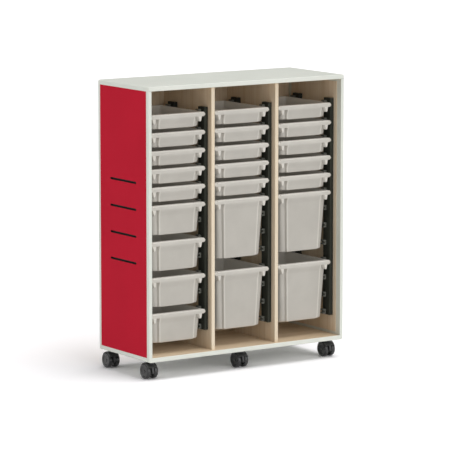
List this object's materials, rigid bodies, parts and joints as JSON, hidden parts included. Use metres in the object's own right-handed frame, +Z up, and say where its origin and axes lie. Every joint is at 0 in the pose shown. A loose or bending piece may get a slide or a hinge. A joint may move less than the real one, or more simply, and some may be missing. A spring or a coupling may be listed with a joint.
{
  "type": "classroom tray storage unit",
  "caption": "Tall open-fronted storage case on swivel casters, with bays of moulded plastic trays that slide out on runner guides and slotted coloured side panels.",
  "frame": {"origin": "on the floor, in the middle of the rectangle that the case and its casters cover", "axes": "+X to the right seen from the front, +Y from the open front to the back, +Z up"},
  "size_m": [1.1456, 0.465, 1.419],
  "materials": {
    "pale_board": "pale melamine facing, satin, with edge banding",
    "red_sheet": "plain red laminate, satin",
    "maple_board": "maple-faced board, satin",
    "rail_plastic": "black moulded plastic with grey guides",
    "tray_plastic": "warm grey moulded plastic, low gloss",
    "caster_plastic": "black moulded nylon",
    "wheel_plastic": "dark grey nylon wheel with soft tread"
  },
  "bodies": {
    "case": {"top_panel": "pale_board", "bottom_panel": "pale_board", "left_side_panel": "pale_board", "left_side_inlay": "red_sheet", "left_liner": "maple_board", "left_partition": "maple_board", "right_side_panel": "pale_board", "right_side_inlay": "red_sheet", "right_liner": "maple_board", "right_partition": "maple_board", "back_panel": "maple_board", "bay_1_left_front_rail": "rail_plastic", "bay_1_left_back_rail": "rail_plastic", "bay_1_right_front_rail": "rail_plastic", "bay_1_right_back_rail": "rail_plastic", "bay_2_left_front_rail": "rail_plastic", "bay_2_left_back_rail": "rail_plastic", "bay_2_right_front_rail": "rail_plastic", "bay_2_right_back_rail": "rail_plastic", "bay_3_left_front_rail": "rail_plastic", "bay_3_left_back_rail": "rail_plastic", "bay_3_right_front_rail": "rail_plastic", "bay_3_right_back_rail": "rail_plastic"},
    "bay_1_tray_1_shallow": {"bay_1_tray_1_shallow": "tray_plastic"},
    "bay_1_tray_2_shallow": {"bay_1_tray_2_shallow": "tray_plastic"},
    "bay_1_tray_3_shallow": {"bay_1_tray_3_shallow": "tray_plastic"},
    "bay_1_tray_4_shallow": {"bay_1_tray_4_shallow": "tray_plastic"},
    "bay_1_tray_5_shallow": {"bay_1_tray_5_shallow": "tray_plastic"},
    "bay_1_tray_6_double": {"bay_1_tray_6_double": "tray_plastic"},
    "bay_1_tray_7_double": {"bay_1_tray_7_double": "tray_plastic"},
    "bay_1_tray_8_double": {"bay_1_tray_8_double": "tray_plastic"},
    "bay_1_tray_9_double": {"bay_1_tray_9_double": "tray_plastic"},
    "bay_2_tray_1_shallow": {"bay_2_tray_1_shallow": "tray_plastic"},
    "bay_2_tray_2_shallow": {"bay_2_tray_2_shallow": "tray_plastic"},
    "bay_2_tray_3_shallow": {"bay_2_tray_3_shallow": "tray_plastic"},
    "bay_2_tray_4_shallow": {"bay_2_tray_4_shallow": "tray_plastic"},
    "bay_2_tray_5_shallow": {"bay_2_tray_5_shallow": "tray_plastic"},
    "bay_2_tray_6_deep": {"bay_2_tray_6_deep": "tray_plastic"},
    "bay_2_tray_7_deep": {"bay_2_tray_7_deep": "tray_plastic"},
    "bay_3_tray_1_shallow": {"bay_3_tray_1_shallow": "tray_plastic"},
    "bay_3_tray_2_shallow": {"bay_3_tray_2_shallow": "tray_plastic"},
    "bay_3_tray_3_shallow": {"bay_3_tray_3_shallow": "tray_plastic"},
    "bay_3_tray_4_shallow": {"bay_3_tray_4_shallow": "tray_plastic"},
    "bay_3_tray_5_shallow": {"bay_3_tray_5_shallow": "tray_plastic"},
    "bay_3_tray_6_deep": {"bay_3_tray_6_deep": "tray_plastic"},
    "bay_3_tray_7_deep": {"bay_3_tray_7_deep": "tray_plastic"},
    "front_left_caster_hood": {"front_left_caster_hood": "caster_plastic"},
    "front_left_caster_wheels": {"front_left_caster_wheels": "wheel_plastic"},
    "front_middle_caster_hood": {"front_middle_caster_hood": "caster_plastic"},
    "front_middle_caster_wheels": {"front_middle_caster_wheels": "wheel_plastic"},
    "front_right_caster_hood": {"front_right_caster_hood": "caster_plastic"},
    "front_right_caster_wheels": {"front_right_caster_wheels": "wheel_plastic"},
    "rear_left_caster_hood": {"rear_left_caster_hood": "caster_plastic"},
    "rear_left_caster_wheels": {"rear_left_caster_wheels": "wheel_plastic"},
    "rear_middle_caster_hood": {"rear_middle_caster_hood": "caster_plastic"},
    "rear_middle_caster_wheels": {"rear_middle_caster_wheels": "wheel_plastic"},
    "rear_right_caster_hood": {"rear_right_caster_hood": "caster_plastic"},
    "rear_right_caster_wheels": {"rear_right_caster_wheels": "wheel_plastic"}
  },
  "joints": [
    {"name": "bay_1_tray_1_shallow_slide", "type": "slide", "parent": "case", "child": "bay_1_tray_1_shallow", "axis": [0, -1, 0], "range_m": [0, 0.3]},
    {"name": "bay_1_tray_2_shallow_slide", "type": "slide", "parent": "case", "child": "bay_1_tray_2_shallow", "axis": [0, -1, 0], "range_m": [0, 0.3]},
    {"name": "bay_1_tray_3_shallow_slide", "type": "slide", "parent": "case", "child": "bay_1_tray_3_shallow", "axis": [0, -1, 0], "range_m": [0, 0.3]},
    {"name": "bay_1_tray_4_shallow_slide", "type": "slide", "parent": "case", "child": "bay_1_tray_4_shallow", "axis": [0, -1, 0], "range_m": [0, 0.3]},
    {"name": "bay_1_tray_5_shallow_slide", "type": "slide", "parent": "case", "child": "bay_1_tray_5_shallow", "axis": [0, -1, 0], "range_m": [0, 0.3]},
    {"name": "bay_1_tray_6_double_slide", "type": "slide", "parent": "case", "child": "bay_1_tray_6_double", "axis": [0, -1, 0], "range_m": [0, 0.3]},
    {"name": "bay_1_tray_7_double_slide", "type": "slide", "parent": "case", "child": "bay_1_tray_7_double", "axis": [0, -1, 0], "range_m": [0, 0.3]},
    {"name": "bay_1_tray_8_double_slide", "type": "slide", "parent": "case", "child": "bay_1_tray_8_double", "axis": [0, -1, 0], "range_m": [0, 0.3]},
    {"name": "bay_1_tray_9_double_slide", "type": "slide", "parent": "case", "child": "bay_1_tray_9_double", "axis": [0, -1, 0], "range_m": [0, 0.3]},
    {"name": "bay_2_tray_1_shallow_slide", "type": "slide", "parent": "case", "child": "bay_2_tray_1_shallow", "axis": [0, -1, 0], "range_m": [0, 0.3]},
    {"name": "bay_2_tray_2_shallow_slide", "type": "slide", "parent": "case", "child": "bay_2_tray_2_shallow", "axis": [0, -1, 0], "range_m": [0, 0.3]},
    {"name": "bay_2_tray_3_shallow_slide", "type": "slide", "parent": "case", "child": "bay_2_tray_3_shallow", "axis": [0, -1, 0], "range_m": [0, 0.3]},
    {"name": "bay_2_tray_4_shallow_slide", "type": "slide", "parent": "case", "child": "bay_2_tray_4_shallow", "axis": [0, -1, 0], "range_m": [0, 0.3]},
    {"name": "bay_2_tray_5_shallow_slide", "type": "slide", "parent": "case", "child": "bay_2_tray_5_shallow", "axis": [0, -1, 0], "range_m": [0, 0.3]},
    {"name": "bay_2_tray_6_deep_slide", "type": "slide", "parent": "case", "child": "bay_2_tray_6_deep", "axis": [0, -1, 0], "range_m": [0, 0.3]},
    {"name": "bay_2_tray_7_deep_slide", "type": "slide", "parent": "case", "child": "bay_2_tray_7_deep", "axis": [0, -1, 0], "range_m": [0, 0.3]},
    {"name": "bay_3_tray_1_shallow_slide", "type": "slide", "parent": "case", "child": "bay_3_tray_1_shallow", "axis": [0, -1, 0], "range_m": [0, 0.3]},
    {"name": "bay_3_tray_2_shallow_slide", "type": "slide", "parent": "case", "child": "bay_3_tray_2_shallow", "axis": [0, -1, 0], "range_m": [0, 0.3]},
    {"name": "bay_3_tray_3_shallow_slide", "type": "slide", "parent": "case", "child": "bay_3_tray_3_shallow", "axis": [0, -1, 0], "range_m": [0, 0.3]},
    {"name": "bay_3_tray_4_shallow_slide", "type": "slide", "parent": "case", "child": "bay_3_tray_4_shallow", "axis": [0, -1, 0], "range_m": [0, 0.3]},
    {"name": "bay_3_tray_5_shallow_slide", "type": "slide", "parent": "case", "child": "bay_3_tray_5_shallow", "axis": [0, -1, 0], "range_m": [0, 0.3]},
    {"name": "bay_3_tray_6_deep_slide", "type": "slide", "parent": "case", "child": "bay_3_tray_6_deep", "axis": [0, -1, 0], "range_m": [0, 0.3]},
    {"name": "bay_3_tray_7_deep_slide", "type": "slide", "parent": "case", "child": "bay_3_tray_7_deep", "axis": [0, -1, 0], "range_m": [0, 0.3]},
    {"name": "front_left_caster_swivel", "type": "hinge", "parent": "case", "child": "front_left_caster_hood", "pos_m": [-0.5258, -0.17947, 0.091], "axis": [0, 0, 1], "continuous": true},
    {"name": "front_left_caster_roll", "type": "hinge", "parent": "front_left_caster_hood", "child": "front_left_caster_wheels", "pos_m": [-0.5258, -0.15647, 0.0375], "axis": [1, 0, 0], "continuous": true},
    {"name": "front_middle_caster_swivel", "type": "hinge", "parent": "case", "child": "front_middle_caster_hood", "pos_m": [0, -0.17947, 0.091], "axis": [0, 0, 1], "continuous": true},
    {"name": "front_middle_caster_roll", "type": "hinge", "parent": "front_middle_caster_hood", "child": "front_middle_caster_wheels", "pos_m": [0, -0.15647, 0.0375], "axis": [1, 0, 0], "continuous": true},
    {"name": "front_right_caster_swivel", "type": "hinge", "parent": "case", "child": "front_right_caster_hood", "pos_m": [0.5258, -0.17947, 0.091], "axis": [0, 0, 1], "continuous": true},
    {"name": "front_right_caster_roll", "type": "hinge", "parent": "front_right_caster_hood", "child": "front_right_caster_wheels", "pos_m": [0.5258, -0.15647, 0.0375], "axis": [1, 0, 0], "continuous": true},
    {"name": "rear_left_caster_swivel", "type": "hinge", "parent": "case", "child": "rear_left_caster_hood", "pos_m": [-0.5258, 0.16953, 0.091], "axis": [0, 0, 1], "continuous": true},
    {"name": "rear_left_caster_roll", "type": "hinge", "parent": "rear_left_caster_hood", "child": "rear_left_caster_wheels", "pos_m": [-0.5258, 0.19253, 0.0375], "axis": [1, 0, 0], "continuous": true},
    {"name": "rear_middle_caster_swivel", "type": "hinge", "parent": "case", "child": "rear_middle_caster_hood", "pos_m": [0, 0.16953, 0.091], "axis": [0, 0, 1], "continuous": true},
    {"name": "rear_middle_caster_roll", "type": "hinge", "parent": "rear_middle_caster_hood", "child": "rear_middle_caster_wheels", "pos_m": [0, 0.19253, 0.0375], "axis": [1, 0, 0], "continuous": true},
    {"name": "rear_right_caster_swivel", "type": "hinge", "parent": "case", "child": "rear_right_caster_hood", "pos_m": [0.5258, 0.16953, 0.091], "axis": [0, 0, 1], "continuous": true},
    {"name": "rear_right_caster_roll", "type": "hinge", "parent": "rear_right_caster_hood", "child": "rear_right_caster_wheels", "pos_m": [0.5258, 0.19253, 0.0375], "axis": [1, 0, 0], "continuous": true}
  ]
}
